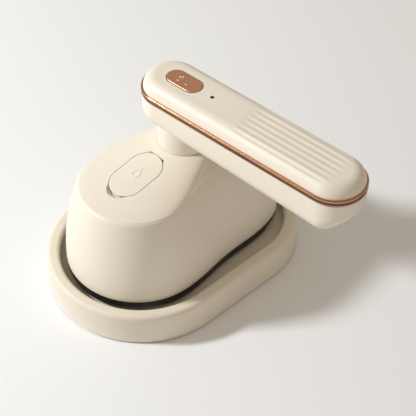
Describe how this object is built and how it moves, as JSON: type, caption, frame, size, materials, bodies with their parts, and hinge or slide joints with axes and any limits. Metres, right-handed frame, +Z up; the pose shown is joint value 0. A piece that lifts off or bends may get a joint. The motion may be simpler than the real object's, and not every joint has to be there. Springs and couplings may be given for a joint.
{
  "type": "travel steam iron",
  "caption": "Compact cream steam iron with a swivelling bar handle, water filler flap and copper power button, resting in a rounded cradle tray.",
  "frame": {"origin": "middle of the tray's underside, on the surface that it stands on", "axes": "+Z up; +X along the tray from the iron's nose to its heel; +Y towards the side away from the swung-out handle"},
  "size_m": [0.1372, 0.1587, 0.1137],
  "materials": {
    "cream_shell": "fine satin grain",
    "cream_tray": "satin moulded plastic",
    "copper": "brushed satin copper anodising",
    "rose_chrome": "polished rose-gold plating",
    "black_plastic": "heat-resistant satin black",
    "sole_coating": "non-stick dark coating",
    "silicone_grey": "matt silicone",
    "steel": "zinc-plated steel",
    "aluminium": "plain sheet",
    "tank_clear": "translucent moulding",
    "brass": "polished ring",
    "board_green": "solder-resist laminate",
    "lens_smoke": "smoked light guide",
    "heater_sheath": "heat-tinted sheath",
    "bush_white": "low-friction bearing plastic",
    "loom_black": "braided sleeve"
  },
  "bodies": {
    "tray": {"tray_shell": "cream_tray", "base_plate": "cream_tray", "base_pad": "silicone_grey", "tray_screws": "steel", "rest_pads": "silicone_grey"},
    "iron": {"soleplate": "sole_coating", "sole_skirt": "black_plastic", "skirt_screws": "steel", "heater_element": "heater_sheath", "steam_gasket": "silicone_grey", "steam_cover": "aluminium", "cover_screws": "steel", "thermostat": "black_plastic", "thermal_fuse": "bush_white", "shield_spacers": "steel", "heat_shield": "aluminium", "shield_screws": "steel", "lip_ring": "cream_shell", "body_shell": "cream_shell", "filler_well": "cream_shell", "water_tank": "tank_clear", "filler_sleeve": "silicone_grey", "feed_tube": "silicone_grey", "pivot_post": "steel", "post_screws": "steel", "stop_pin": "steel", "wiring_loom": "loom_black", "retaining_clip": "steel"},
    "flap": {"filler_flap": "cream_shell", "flap_emblem": "cream_shell", "flap_pin": "steel", "filler_seal": "silicone_grey"},
    "handle": {"handle_lower": "cream_shell", "neck_sleeve": "cream_shell", "neck_screws": "steel", "pivot_bush": "bush_white", "wave_washer": "steel", "handle_screws": "steel", "screw_plugs": "cream_shell", "trim_band": "rose_chrome", "trim_inlay": "black_plastic", "handle_upper": "cream_shell", "circuit_board": "board_green", "board_screws": "steel", "tact_switch": "black_plastic", "status_led": "bush_white", "led_lens": "lens_smoke", "cord_inlet": "black_plastic", "inlet_ring": "brass"},
    "button": {"power_button": "copper"}
  },
  "joints": [
    {"name": "lift_out", "type": "slide", "parent": "tray", "child": "iron", "axis": [0, 0, 1], "range_m": [0, 0.06]},
    {"name": "handle_swivel", "type": "hinge", "parent": "iron", "child": "handle", "pos_m": [0.0124, 0, 0.0764], "axis": [0, 0, 1], "range_deg": [-5.3, 174.7]},
    {"name": "flap_hinge", "type": "hinge", "parent": "iron", "child": "flap", "pos_m": [-0.00734, 0, 0.07433], "axis": [0, 1, 0], "range_deg": [0, 75]},
    {"name": "button_press", "type": "slide", "parent": "handle", "child": "button", "axis": [0, 0, -1], "range_m": [0, 0.001], "stiffness_N_per_m": 800}
  ]
}
